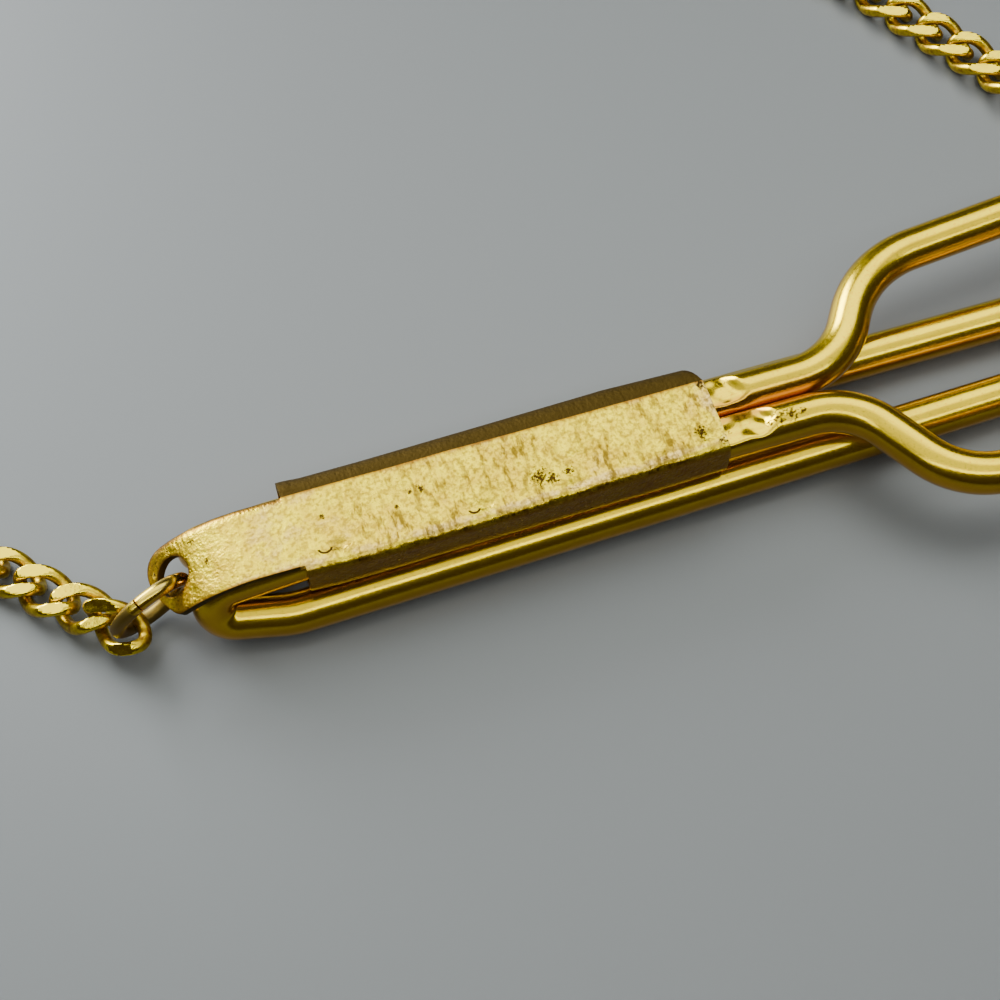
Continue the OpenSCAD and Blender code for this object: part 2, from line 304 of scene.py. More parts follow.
def gilt_wire(name, colour, pit_places=(), stains_and_shade=()):
    """Gilt brass wire, drawn through a die and left satin. The eye sees long soft highlights with
    fine lines in them and brown flecks; painted shade makes the underside darker and redder. Pits
    and brown dull stretches, partly stained and partly painted shade, are given as (x, y, z, radius)."""
    material, tree, shader, coordinates = new_material(name)
    # Flecks of tarnish are finer on the real wire, and are drawn 0.09 mm wide so that they show
    cloud, fleck = (
        add_node(tree, NOISE, {
            "Vector": coordinates, "Scale": grains(width), "Detail": 4.0, "Roughness": rough})
        .outputs["Fac"] for width, rough in ((1.4, 0.5), (0.09, 0.6)))
    lines = drawn_lines(tree)
    # Ramps from a low to a high (source value, result)
    clouds, flecks, drawn, rough = (
        add_node(tree, RAMP, {"Fac": source}, (low, high)).outputs["Color"]
        for source, low, high in (
            (cloud, (0.4, 0.0), (0.65, 1.0)),
            (fleck, (0.58, 0.0), (0.72, 0.5)),
            (lines, (0.5, 0.0), (0.75, 0.5)),
            (fleck, (0.3, 0.17), (0.7, 0.27))))
    # Painted shade: faces turned down, and the valley between the upper strands, go redder brown
    under = add_node(tree, ATTRIBUTE, attribute_name="under").outputs["Fac"]
    layers = [
        (clouds, srgb("E6C81E"), None), (flecks, srgb("9A7A18"), None),
        (drawn, srgb("C9A81E"), None), (under, srgb("CE9C30"), None),
    ]
    relief = add_node(tree, MATH, {0: fleck, 1: 0.2, 2: lines}, operation="MULTIPLY_ADD").outputs[0]
    # Brown dull stretches: partly stain, partly painted shade on a ring's lower arc
    for x, y, z, radius in stains_and_shade:
        stain_and_shade = nearness(tree, coordinates, (x, y, z), radius, radius - STAIN_AND_SHADE_BORDER, most=0.85)
        layers.append((stain_and_shade, srgb("6A5834"), 0.48))
    if pit_places:
        pits = spots(tree, coordinates, pit_places)
        layers.append((pits, srgb("4A3614"), 0.6))
        relief = add_node(tree, MATH, {0: pits, 1: -2.0, 2: relief}, operation="MULTIPLY_ADD").outputs[0]
    finish_metal(tree, shader, tuple(colour), rough, layers, relief, strength=0.2, depth=0.01)
    return material


def polished_chain(name, colour):
    """Gilt brass links, filed flat and polished. The eye sees the filed faces flash like small
    mirrors between rounded sides that painted shade turns brown, broken up by tarnished patches."""
    material, tree, shader, coordinates = new_material(name)
    side = add_node(tree, ATTRIBUTE, attribute_name="side").outputs["Fac"]
    # Tarnish is finer on the real links, and is drawn 0.14 mm wide so that it shows
    fleck = add_node(tree, NOISE, {
        "Vector": coordinates, "Scale": grains(0.14), "Detail": 3.0}).outputs["Fac"]
    patches = add_node(tree, RAMP, {"Fac": fleck}, ((0.35, 0.35), (0.65, 1.0))).outputs["Color"]
    # Painted shade browns the rounded sides, made patchy by the tarnish noise
    side_shade_and_tarnish = add_node(tree, MATH, {0: side, 1: patches}, operation="MULTIPLY").outputs[0]
    uneven = add_node(tree, MATH, {0: fleck, 1: side}, operation="ADD").outputs[0]
    rough = add_node(tree, RAMP, {"Fac": uneven}, ((0.4, 0.14), (1.0, 0.34))).outputs["Color"]
    layers = [(side_shade_and_tarnish, srgb("A07824"), None)]
    finish_metal(tree, shader, tuple(colour), rough, layers, fleck, strength=0.35, depth=0.02)
    return material


def gilt_sheet(name, colour, worn_colour):
    """Gilt brass sheet, stamped and pressed round the wire. The eye sees a granular skin with marks
    across it that break the reflections up, pale metal where the edges are rubbed, dark pits where
    the gilding has gone, and painted shade that browns the sides, back bend and cut edges."""
    material, tree, shader, coordinates = new_material(name)
    edge = add_node(tree, ATTRIBUTE, attribute_name="worn").outputs["Fac"]
    # The brown attribute holds painted shade: sides, back bend, the tongue's low end and cut edges
    shade = add_node(tree, ATTRIBUTE, attribute_name="brown").outputs["Fac"]
    # Press marks run across the sleeve, so their noise is stretched along Y
    stretched = add_node(tree, "ShaderNodeMapping", {
        "Vector": coordinates, "Scale": (1.0, 0.34, 1.0)}).outputs["Vector"]
    # The gilding's grain is finer on the real sheet, and is drawn 0.13 mm wide so that it shows
    cloud, grain, coarse, streak = (
        add_node(tree, NOISE, {
            "Vector": place, "Scale": grains(width), "Detail": detail, "Roughness": rough})
        .outputs["Fac"] for place, width, detail, rough in (
            (coordinates, 1.3, 6.0, 0.68),
            (coordinates, 0.13, 3.0, 0.55),
            (coordinates, 0.42, 2.0, 0.5),
            (stretched, 0.21, 3.0, 0.62)))
    fine = add_node(tree, "ShaderNodeTexVoronoi", {
        "Vector": coordinates, "Scale": grains(0.11)}).outputs["Distance"]
    # The rubbed edges are patchy, by three times what the cloud is over or under its middle
    patchy = add_node(tree, MATH, {0: cloud, 1: 3.0, 2: -1.5}, operation="MULTIPLY_ADD").outputs[0]
    rubbed = add_node(tree, MATH, {0: edge, 1: patchy}, operation="ADD").outputs[0]
    # Ramps from a low to a high (source value, result)
    clouds, wear, mottle, flecks, marks, marked, deepest, painted_shade, rough = (
        add_node(tree, RAMP, {"Fac": source}, (low, high)).outputs["Color"]
        for source, low, high in (
            (cloud, (0.44, 0.0), (0.58, 1.0)),
            (rubbed, (0.28, 0.0), (0.85, 1.0)),
            (coarse, (0.42, 0.0), (0.62, 0.5)),
            (grain, (0.46, 0.0), (0.62, 0.6)),
            (streak, (0.49, 0.0), (0.61, 0.9)),
            (cloud, (0.38, 0.25), (0.58, 1.0)),
            (shade, (0.88, 0.0), (1.0, 1.0)),
            # Painted shade, from the sides' brown to the darker brown of the back bend and rims
            (shade, (0.86, srgb("8A5C20")), (1.0, srgb("463816"))),
            (grain, (0.3, 0.25), (0.7, 0.42))))
    x = add_node(tree, "ShaderNodeSeparateXYZ", {"Vector": coordinates}).outputs["X"]
    wrapped = add_node(tree, RANGE, {
        "Value": x, "From Min": to_frame((MARKS_START, 0, 0)).x,
        "From Max": to_frame((MARKS_FULL, 0, 0)).x}).outputs[0]
    for mask in (marked, wrapped):
        marks = add_node(tree, MATH, {0: marks, 1: mask}, operation="MULTIPLY").outputs[0]
    pits = highest(tree, [spots(tree, coordinates, SHEET_PITS), crescents(tree, coordinates, CUTS)])
    layers = [
        (clouds, srgb("E4C62A"), None), (wear, tuple(worn_colour), None),
        (mottle, srgb("CFB02A"), None), (flecks, srgb("927418"), None),
        (marks, srgb("6E5814"), None), (shade, painted_shade, None),
        # The deepest painted shade, on the back bend and the rims, is also dull
        (deepest, None, 0.62), (pits, srgb("4E3A18"), 0.7),
    ]
    relief = grain
    for source, height in ((fine, 0.5), (coarse, 0.35), (streak, -1.3), (pits, -2.0)):
        relief = add_node(
            tree, MATH, {0: source, 1: height, 2: relief}, operation="MULTIPLY_ADD").outputs[0]
    finish_metal(tree, shader, tuple(colour), rough, layers, relief, strength=0.5, depth=0.03)
    return material


# The spring wire

PAIR_Y = 0.71
UPPER_Z = 2.36
LOWER_Z = 0.7
# Points of the wire above this height belong to the upper strands
BETWEEN_Z = 1.5
# Corners of the wire's centre line: x, y, z and bend radius
WIRE_CORNERS = [
    (22.4, -4.72, UPPER_Z, 3.8),
    (13.0, -4.75, UPPER_Z, 12.0),
    (6.54, -4.43, UPPER_Z, 2.9),
    (4.17, -PAIR_Y, UPPER_Z, 2.57),
    (-14.3, -PAIR_Y, UPPER_Z, 3.0),
    (-17.24, -0.76, 2.15, 0.73),
    (-17.24, -1.25, 0.87, 0.73),
    (-14.9, -1.70, LOWER_Z, 3.0),
    (20.5, -0.91, LOWER_Z, 1.23),
    (20.5, 1.6, LOWER_Z, 1.23),
    (-14.9, 1.63, LOWER_Z, 3.0),
    (-17.24, 1.22, 0.87, 0.73),
    (-17.24, 0.76, 2.15, 0.73),
    (-14.3, PAIR_Y, UPPER_Z, 3.0),
    (4.345, PAIR_Y, UPPER_Z, 2.91),
    (6.48, 4.05, UPPER_Z, 3.79),
    (13.0, 4.64, UPPER_Z, 12.0),
    (22.4, 4.64, UPPER_Z, 3.8),
]
# The crimps: the strand's y, where the flat ends along the clip, and how far across the wire the
# flat's longest line lies, as a share of the wire's radius
FRONT_CRIMP = (-PAIR_Y, 1.4, 0.1)
BACK_CRIMP = (PAIR_Y, 0.85, -0.3)
# A crimp's flat lies this far above the centre line, and ramps back to round over twice its ramp
CRIMP_Z = 0.42
CRIMP_RAMP = 0.26
# The wire by the mouth is cut this many times finer, for the crimps' marks
CRIMP_PIECES = 12


def rounded_path(corners, degrees, straight):
    """Points of a closed path with rounded corners: an arc point each few degrees, and on the
    straight runs a point each few millimetres."""
    count = len(corners)
    places = [Vector(c[:3]) for c in corners]
    arcs = []
    for i in range(count):
        radius = corners[i][3]
        way_in = (places[i] - places[i - 1]).normalized()
        way_out = (places[(i + 1) % count] - places[i]).normalized()
        turn = way_in.angle(way_out)
        start = places[i] - way_in * (radius * math.tan(turn / 2))
        side = (way_out - way_in * way_out.dot(way_in)).normalized()
        steps = max(2, math.ceil(math.degrees(turn) / degrees))
        angles = [turn * k / steps for k in range(steps + 1)]
        arcs.append([start + radius * (way_in * math.sin(a) + side * (1 - math.cos(a))) for a in angles])
    path = []
    for i in range(count):
        path += arcs[i]
        run = arcs[(i + 1) % count][0] - arcs[i][-1]
        pieces = max(1, round(run.length / straight))
        path += [arcs[i][-1] + run * k / pieces for k in range(1, pieces)]
    return path


def end_tree(tree, geometry, material):
    """Ends a tree of Geometry Nodes: its instances made real, with their material."""
    real = add_node(tree, "GeometryNodeRealizeInstances", {"Geometry": geometry})
    finish = add_node(tree, "GeometryNodeSetMaterial", {
        "Geometry": real.outputs["Geometry"], "Material": material})
    add_node(tree, "NodeGroupOutput", {"Geometry": finish.outputs["Geometry"]})


def tube_tree(name, material):
    """Geometry Nodes: a round tube along a curve, with named inputs for its radius and sides. It
    stores how far along and where round the wire each point is."""
    tree = bpy.data.node_groups.new(name, "GeometryNodeTree")
    ports = tree.interface
    ports.new_socket("Curve", in_out="INPUT", socket_type="NodeSocketGeometry")
    radius = ports.new_socket("Wire radius", in_out="INPUT", socket_type="NodeSocketFloat")
    sides = ports.new_socket("Sides", in_out="INPUT", socket_type="NodeSocketInt")
    ports.new_socket("Geometry", in_out="OUTPUT", socket_type="NodeSocketGeometry")
    start = add_node(tree, "NodeGroupInput").outputs
    profile = add_node(tree, "GeometryNodeCurvePrimitiveCircle", {
        "Radius": start["Wire radius"], "Resolution": start["Sides"]})
    along = add_node(tree, "GeometryNodeSplineParameter")
    stored = add_node(tree, "GeometryNodeStoreNamedAttribute", {
        "Geometry": start["Curve"], "Name": "along", "Value": along.outputs["Length"]}, domain="POINT")
    place = add_node(tree, "GeometryNodeInputPosition")
    marked = add_node(tree, "GeometryNodeStoreNamedAttribute", {
        "Geometry": profile.outputs["Curve"], "Name": "ring_place", "Value": place.outputs["Position"]},
        data_type="FLOAT_VECTOR", domain="POINT")
    tube = add_node(tree, "GeometryNodeCurveToMesh", {
        "Curve": stored.outputs["Geometry"], "Profile Curve": marked.outputs["Geometry"],
        "Fill Caps": True})
    shaded = add_node(tree, "GeometryNodeSetShadeSmooth", {"Geometry": tube.outputs["Mesh"]})
    end_tree(tree, shaded.outputs["Geometry"], material)
    return tree, radius.identifier, sides.identifier


def make_tube(name, points, closed, radius, sides, material):
    """A piece of round wire along the points, made by the tube tree."""
    curve = bpy.data.curves.new(name, "CURVE")
    curve.dimensions = "3D"
    spline = curve.splines.new("POLY")
    spline.points.add(len(points) - 1)
    for i, point in enumerate(points):
        spline.points[i].co = (*to_frame(point), 1)
    spline.use_cyclic_u = closed
    piece = add_object(name, curve)
    tree, radius_socket, sides_socket = tube_tree(name + "_nodes", material)
    modifier = piece.modifiers.new("Tube", "NODES")
    modifier.node_group = tree
    modifier[radius_socket] = radius
    modifier[sides_socket] = sides
    done = apply_modifiers(piece)
    done.name = name
    paint_underside_shade(done.data)
    return done


def paint_underside_shade(mesh):
    """Stores how far each point faces down, for the painted shade that darkens and reddens the wire there.
    """
    layer = mesh.attributes.new("under", "FLOAT", "POINT")
    layer.data.foreach_set("value", [rise(-vertex.normal.z, -0.85, -0.1) for vertex in mesh.vertices])


def press_wire(mesh):
    """The crimp by the mouth presses each upper strand flat on top, and a ramp leads back to round.
    The valley between the strands gets painted shade nearly as deep as the underside's."""
    painted_shade = mesh.attributes["under"].data
    for vertex in mesh.vertices:
        x, y, z = vertex.co / MM + MIDDLE
        if -1 < x < 6 and abs(y) < 0.5 and z > BETWEEN_Z:
            valley = (1 - rise(abs(y), 0.28, 0.48)) * (1 - rise(x, 3.5, 5.5))
            painted_shade[vertex.index].value = max(painted_shade[vertex.index].value, 0.9 * valley)
        if not (-1.5 < x < 2.5 and z > BETWEEN_Z and abs(y) < 1.6):
            continue
        strand_y, flat_end, longest = BACK_CRIMP if y > 0 else FRONT_CRIMP
        across = (y - strand_y) / 0.7
        ramp_x = flat_end - 0.35 * abs(across - longest)
        pressed = 1 - rise(x, ramp_x - CRIMP_RAMP, ramp_x + CRIMP_RAMP)
        # The flat falls a little towards the back and is uneven
        flat_z = UPPER_Z + CRIMP_Z - 0.12 * across - 0.06 * noise.noise((x * 2.2, y * 2.2, 4.0))
        if z > flat_z:
            z -= (z - flat_z) * pressed * 0.95
        vertex.co = to_frame((x, y, z))
    mesh.update()


class TIECLIP_OT_spring_wire(bpy.types.Operator):
    """Builds the spring wire, one closed loop whose folds lie at the left under the tongue"""

    bl_idname = "tieclip.spring_wire"
    bl_label = "Spring wire"

    def execute(self, context):
        settings = context.scene.tieclip_wire
        path = rounded_path(WIRE_CORNERS, degrees=3.0, straight=0.6)
        fine = []
        for point, after in zip(path, path[1:] + path[:1]):
            fine.append(point)
            by_mouth = point.z > BETWEEN_Z and abs(point.y) < 1 and -1.5 < point.x < 2.6
            if by_mouth and (after - point).length > 0.1:
                fine += [point.lerp(after, k / CRIMP_PIECES) for k in range(1, CRIMP_PIECES)]
        gilding = gilt_wire("Satin gilt brass wire", settings.colour, WIRE_PITS)
        wire = make_tube("gilt_spring_wire", fine, True, settings.radius, settings.sides, gilding)
        press_wire(wire.data)
        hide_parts("spring_wire")
        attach(wire, "root")
        return {"FINISHED"}


# The sleeve

# The wrapped stretch runs from the tongue's root, which slants a little, to the mouth. The section at
# its middle says how the root and the mouth run round the strands.
SLEEVE_X0 = -14.3
ROOT_SLANT = 0.05
MIDDLE_X = -5.0
MOUTH_X = -0.35
# The mouth's back corner is bent in: from this y, over this width and this far along the clip
MOUTH_CORNER = (0.72, 1.1, 0.62)
WRAP_STEPS = 120
# Half the sleeve's height, measured from the upper strands' centre line, and its flat top
HALF_H = 0.99
TOP_Z = UPPER_Z + HALF_H
# Half the seam under the strands
SEAM_HALF = 0.1
# Radii of the front's lower bend, of the front's upper bend across and up, and of the back's upper
# bend. The front's upper ones stay above the sheet's thickness, so that the inside doesn't fold over.
FRONT_WRAP = 0.9
FRONT_BEND_Y = 0.28
FRONT_BEND_Z = 0.30
BACK_BEND_Y = 0.68
BACK_BEND_Z = 0.5
# Where the top's front edge, the front wall and the back wall lie along the sleeve: x, y
FRONT_EDGE = [(-14.1, -1.44), (-11.9, -1.50), (-8.0, -1.46), (-4.7, -1.36), (-0.5, -1.27)]
FRONT_WALL = [
    (-14.1, -1.74), (-13.3, -1.78), (-11.4, -1.78), (-9.4, -1.74), (-6.7, -1.71), (-2.0, -1.67),
    (-0.5, -1.63),
]
BACK_WALL = [
    (-14.2, 1.80), (-13.6, 1.75), (-11.6, 1.75), (-7.0, 1.82), (-3.5, 1.88), (-0.8, 1.80),
    (-0.5, 1.74),
]
# The tongue: its sides, where its curl starts and how far it turns, and the hole in it
TONGUE_FRONT = -1.43
TONGUE_BACK = 1.06
CURL_X = -15.54
CURL_DEGREES = 48.6
HOLE_DEGREES = 36.6
HOLE_Y = -0.13
# The length of the rounded tip, and how far it leans to the back
TIP_L = 0.98
TIP_LEAN = 0.53
# Rows of points along the tongue's flat stretch and along its curl, which ends this far before the
# hole, then steps along the tip's sides and round its end, and rings in to the hole
FLAT_ROWS = 12
CURL_ROWS = 14
HOLE_FRAME = 0.55
SIDE_STEPS = 10
END_STEPS = 24
TIP_RINGS = 5
# Steps across the flat top and the tongue, and the points of a section that come before it: under
# the strand, the lower bend, the wall and the upper bend
TOP_STEPS = 24
TOP_START = 3 + 9 + 7 + 6
# Small nicks in the sleeve's top: x, y, size and depth
NICKS = [
    (-13.0, -1.05, 0.28, 0.10), (-8.35, -1.1, 0.28, 0.10), (-5.4, -1.3, 0.3, 0.08),
    (-2.4, -1.15, 0.25, 0.07), (-1.0, -0.9, 0.25, 0.08), (-5.0, -0.4, 0.5, 0.04),
    (-6.6, 0.2, 0.6, 0.03), (-10.4, 0.4, 0.6, 0.03),
]


def run(start, end, steps, first, last):
    """Points of a straight run between two (y, z) points, from its step first to its step last."""
    (y0, z0), (y1, z1) = start, end
    return [(y0 + (y1 - y0) * k / steps, z0 + (z1 - z0) * k / steps) for k in range(first, last + 1)]


def bend(centre_y, centre_z, width, height, start, steps):
    """Points of a quarter bend as (y, z), which turns clockwise from start degrees."""
    angles = [math.radians(start - 90 * k / steps) for k in range(steps + 1)]
    return [(centre_y + width * math.cos(a), centre_z + height * math.sin(a)) for a in angles]


def section(x):
    """The sleeve's outline at x as (y, z) points, from under the front strand over the top to the back."""
    front, wall, back = (table_at(table, x) for table in (FRONT_EDGE, FRONT_WALL, BACK_WALL))
    corner = (front - FRONT_BEND_Y, HALF_H - FRONT_BEND_Z)
    top_start = front + TONGUE_FRONT - FRONT_EDGE[0][1]
    top_end = max(back - BACK_BEND_Y, TONGUE_BACK)
    return (
        run((-SEAM_HALF, -HALF_H), (1.0 - SEAM_HALF + wall, -HALF_H), 3, 0, 2)
        + bend(wall + FRONT_WRAP, FRONT_WRAP - HALF_H, FRONT_WRAP, FRONT_WRAP, 270, 8)
        + run((wall, FRONT_WRAP - HALF_H), corner, 8, 1, 7)
        + bend(front, corner[1], FRONT_BEND_Y, FRONT_BEND_Z, 180, 6)[:-1]
        + run((top_start, HALF_H), (TONGUE_BACK, HALF_H), TOP_STEPS, 0, TOP_STEPS)
        + bend(top_end, HALF_H - BACK_BEND_Z, back - top_end, BACK_BEND_Z, 90, 10)[1:]
        + run((back, HALF_H - BACK_BEND_Z), (back, 0), 4, 1, 3)
        + bend(back - HALF_H, 0, HALF_H, HALF_H, 0, 8)
        + run((back - HALF_H, -HALF_H), (SEAM_HALF, -HALF_H), 2, 1, 2))


def wrap_strands(points, faces):
    """Adds the sheet that is wrapped round the strands, in rings from the tongue's root to the mouth."""
    middle = section(MIDDLE_X)
    columns = len(middle)
    corner_y, corner_width, bent_in = MOUTH_CORNER
    for i in range(WRAP_STEPS + 1):
        for j, (y0, z0) in enumerate(middle):
            corner = max(0.0, (y0 - corner_y) / corner_width)
            end = MOUTH_X - bent_in * (1 - math.sqrt(max(0.0, 1 - corner * corner)))
            # The mouth's underside ends a little before its top
            end -= 0.06 * rise(-z0, -0.6, 0.4)
            begin = SLEEVE_X0 - ROOT_SLANT * y0
            x = begin + (end - begin) * i / WRAP_STEPS
            y, z = section(x)[j]
            points.append((x, y, UPPER_Z + z))
    for i in range(WRAP_STEPS):
        for j in range(columns - 1):
            a = i * columns + j
            faces.append((a, a + 1, a + columns + 1, a + columns))


def curl_point(radius, s, y):
    """A point on the tongue's top, s millimetres along its curl."""
    return (CURL_X - radius * math.sin(s / radius), y, TOP_Z - radius * (1 - math.cos(s / radius)))


def tip_outline(join_s, tip_s):
    """The tongue's outline from its back side round the leaning tip to its front side, as (s, y)
    points, where s runs along the curl."""
    half = (TONGUE_BACK - TONGUE_FRONT) / 2
    middle = (TONGUE_BACK + TONGUE_FRONT) / 2
    side_end = tip_s - TIP_L
    sides = [(side_end - join_s) * k / SIDE_STEPS for k in range(SIDE_STEPS + 1)]
    outline = [(join_s + s, TONGUE_BACK) for s in sides[1:]]
    for k in range(1, END_STEPS):
        a = math.pi * k / END_STEPS
        reach = TIP_L * math.sin(a) ** 0.9 + TIP_LEAN * TIP_L * math.cos(a) * math.sin(a)
        outline.append((side_end + reach, middle + half * math.cos(a)))
    return outline + [(side_end - s, TONGUE_FRONT) for s in sides[:-1]]


def add_tongue(settings, points, faces):
    """Adds the tongue's flat stretch and its curl in rows across it, then its tip in rings from the
    outline in to the hole. Returns the points of its rims."""
    first = len(points)
    radius = settings.curl_radius / MM
    hole_r = settings.hole_radius / MM
    hole_s = math.radians(HOLE_DEGREES) * radius
    join_s = hole_s - hole_r - HOLE_FRAME
    outline = tip_outline(join_s, math.radians(CURL_DEGREES) * radius)
    across = TOP_STEPS + 1
    widths = [TONGUE_FRONT + (TONGUE_BACK - TONGUE_FRONT) * k / TOP_STEPS for k in range(across)]
    flat_xs = [SLEEVE_X0 + (CURL_X - SLEEVE_X0) * k / FLAT_ROWS for k in range(1, FLAT_ROWS + 1)]
    curl_ss = [join_s * k / CURL_ROWS for k in range(1, CURL_ROWS + 1)]
    rows = [[(x, y, TOP_Z) for y in widths] for x in flat_xs]
    rows += [[curl_point(radius, s, y) for y in widths] for s in curl_ss]
    ring = list(range(TOP_START, TOP_START + across))
    for row in rows:
        after = list(range(len(points), len(points) + across))
        points += row
        faces += [(ring[k], after[k], after[k + 1], ring[k + 1]) for k in range(TOP_STEPS)]
        ring = after
    rim = [k for k in range(first, len(points)) if (k - first) % across in (0, TOP_STEPS)]
    tip = list(range(len(points), len(points) + len(outline)))
    points += [curl_point(radius, s, y) for s, y in outline]
    ring += tip
    border = [(join_s, y) for y in widths] + outline
    for step in range(1, TIP_RINGS + 1):
        inner = list(range(len(points), len(points) + len(border)))
        for s, y in border:
            away = Vector((s - hole_s, y - HOLE_Y))
            here = away.lerp(away.normalized() * hole_r, step / TIP_RINGS)
            points.append(curl_point(radius, hole_s + here.x, HOLE_Y + here.y))
        for k in range(len(ring)):
            k2 = (k + 1) % len(ring)
            faces.append((ring[k], inner[k], inner[k2], ring[k2]))
        ring = inner
    return rim + tip + ring


def press_point(x, y, z):
    """Where the press and wear leave a point of the sheet, how rubbed it is and how deep its painted shade
    is.
    """
    wrapped = x > SLEEVE_X0 - ROOT_SLANT * y - 0.01
    edge_y = table_at(FRONT_EDGE, x)
    top = rise(z, TOP_Z - 0.08, TOP_Z - 0.01) if wrapped else 1.0
    wave = noise.noise((x * 0.5, y * 0.8, 2.0)) * 0.03 + noise.noise((x * 2.2, y * 2.2, 7.0)) * 0.012
    nick = 0.0
    for nick_x, nick_y, size, depth in NICKS:
        nick += depth * bell(math.hypot((x - nick_x) / size, (y - nick_y) / (size * 0.5)), 0, 1)
    # The top's front edge is ragged, and the tongue's back edge is rounded
    ragged = 0.0
    edge_gap = 1.0
    if wrapped:
        ragged = 0.05 * noise.noise((x * 1.9, 0.0, 11.0)) + 0.07 * noise.noise((x * 5.5, 0.0, 3.0))
        ragged *= bell(y, edge_y, 0.2) * top
    else:
        edge_gap = min(1.0, max(0.0, TONGUE_BACK - y) / 0.26)
    place = to_frame((x, y + ragged, z + top * (wave - nick) - 0.08 * (1 - edge_gap) ** 2))

    # The gilding is rubbed at the mouth, over the tongue's root and along the top's two edges
    mouth = bell(x, MOUTH_X, 0.38) * rise(z, 2.9, 3.2)
    root = bell(x, -14.75, 0.85) * rise(z, 3.1, 3.3)
    front_strip = bell(y, edge_y + 0.04, 0.13) * (0.6 + 0.4 * rise(x, -11.5, -9.5)) * rise(z, 3.0, 3.3)
    back_strip = bell(y, 1.0, 0.3) * (x > SLEEVE_X0) * rise(z, 3.1, 3.34)
    worn = min(1.0, 0.75 * mouth + 0.65 * root + 0.85 * front_strip + 0.3 * back_strip)

    # Painted shade darkens the sleeve's sides and back bend, and the tongue's low end and back edge
    if wrapped:
        side = 1 - rise(z, TOP_Z - 0.2, TOP_Z - 0.03)
        brown = max(0.86 * side, rise(y, 0.93, 1.03) * rise(z, 2.4, 2.6))
    else:
        brown = max(0.42 * (1 - rise(z, 1.4, 3.0)), 1 - rise(edge_gap, 0.3, 0.85))
    return place, worn, brown


def turn_outwards(mesh):
    """Turns all faces of a mesh outwards, judged by the top, which faces up."""
    mesh.update()
    top = max(mesh.polygons, key=lambda face: face.center.z)
    if top.normal.z < 0:
        mesh.flip_normals()


class TIECLIP_OT_sleeve(bpy.types.Operator):
    """Builds the sleeve of folded sheet and its pierced tongue"""

    bl_idname = "tieclip.sleeve"
    bl_label = "Sleeve and tongue"

    def execute(self, context):
        settings = context.scene.tieclip_sleeve
        points, faces = [], []
        wrap_strands(points, faces)
        rim = add_tongue(settings, points, faces)
        moved, worn, brown = map(list, zip(*(press_point(*point) for point in points)))
        # The cut edges take the deepest painted shade
        for k in rim:
            brown[k] = 1.0
        mesh = bpy.data.meshes.new("sleeve")
        mesh.from_pydata(moved, [], faces)
        mesh.validate()
        for name, values in (("worn", worn), ("brown", brown)):
            layer = mesh.attributes.new(name, "FLOAT", "POINT")
            layer.data.foreach_set("value", values)
        sleeve = add_object("gilt_sleeve", mesh)
        turn_outwards(mesh)
        wall = sleeve.modifiers.new("Sheet", "SOLIDIFY")
        wall.thickness = settings.sheet
        wall.offset = -1
        rounding = sleeve.modifiers.new("Rim", "BEVEL")
        rounding.width = 0.085 * MM
        rounding.segments = 3
        rounding.limit_method = "ANGLE"
        rounding.angle_limit = math.radians(50)
        apply_modifiers(sleeve)
        sleeve.data.polygons.foreach_set("use_smooth", [True] * len(sleeve.data.polygons))
        sleeve.data.materials.clear()
        sleeve.data.materials.append(
            gilt_sheet("Worn gilt brass sheet", settings.colour, settings.worn_colour))
        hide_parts("sleeve")
        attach(sleeve, "root")
        return {"FINISHED"}


# The rings and the chain

# The jump rings: node, centre, centre line radius, the axis's azimuth and elevation, and the joint's
# place round the ring in degrees
RINGS = [
    ("ring_left", (-19.13, -0.49, 1.62), 1.26, 112.8, 13.1, 160),
    ("ring_right", (18.67, 4.74, 1.9), 1.6, 18, 0, 100),
]
# A ring's open joint takes this many degrees, and its wire these points along it and round it
JOINT_GAP = 2.0
RING_STEPS = 96
RING_SIDES = 32

# Half a link's length and width, measured on its wire's centre line, how many degrees each end is
# twisted, and the points along its wire and round it
LINK_HALF_L = 1.05
LINK_HALF_W = 0.63
LINK_TWIST = -60
LINK_STEPS = 56
LINK_SIDES = 16
# A link is filed flat this far above and below its middle, and this much deeper on one half
FACET_Z = 0.42
FACET_DEEPER = 0.09

# The chain's way from the left ring to the right one
ROUTE = [
    (-20.35, -0.55, 0.86), (-21.85, 1.1, 0.6), (-23.25, 2.45, 0.46), (-25.6, 4.9, 0.46),
    (-27.9, 8.8, 0.46), (-29.1, 14, 0.46), (-29.1, 20.4, 0.46), (-27.4, 27, 0.46),
    (-23.1, 33, 0.46), (-16, 36.8, 0.46), (-7.8, 36.8, 0.46), (-0.4, 33, 0.46), (5.4, 26.6, 0.46),
    (10, 19.9, 0.46), (14.2, 13.1, 0.46), (16.7, 8.8, 0.8), (18.1, 6.37, 1.47),
]
# The poses of its end links: x, y, z, roll, tilt and heading in degrees
FIRST_LINKS = [
    (-20.36, -0.57, 1.07, -37.5, 2.7, 127.8),
    (-21.23, 0.4, 0.73, -5.9, -9.9, 142.5),
    (-22.28, 1.39, 0.64, -6.9, -4.1, 131.4),
]
LAST_LINKS = [
    (16.76, 8.7, 0.82, -0.1, 13, -58),
    (17.39, 7.62, 1.15, 12.4, 14, -59.7),
    (18.1, 6.37, 1.47, 8.5, 7, -62.3),
]


def ring_points(centre, radius, azimuth, elevation, joint):
    """Centre line of an open ring whose axis points along azimuth and elevation."""
    turn = Euler((0, math.radians(90 - elevation), math.radians(azimuth)), "XYZ").to_matrix()
    start = joint + JOINT_GAP / 2
    angles = [math.radians(start + (360 - JOINT_GAP) * k / RING_STEPS) for k in range(RING_STEPS + 1)]
    return [Vector(centre) + turn @ Vector((radius * math.cos(a), radius * math.sin(a), 0)) for a in angles]


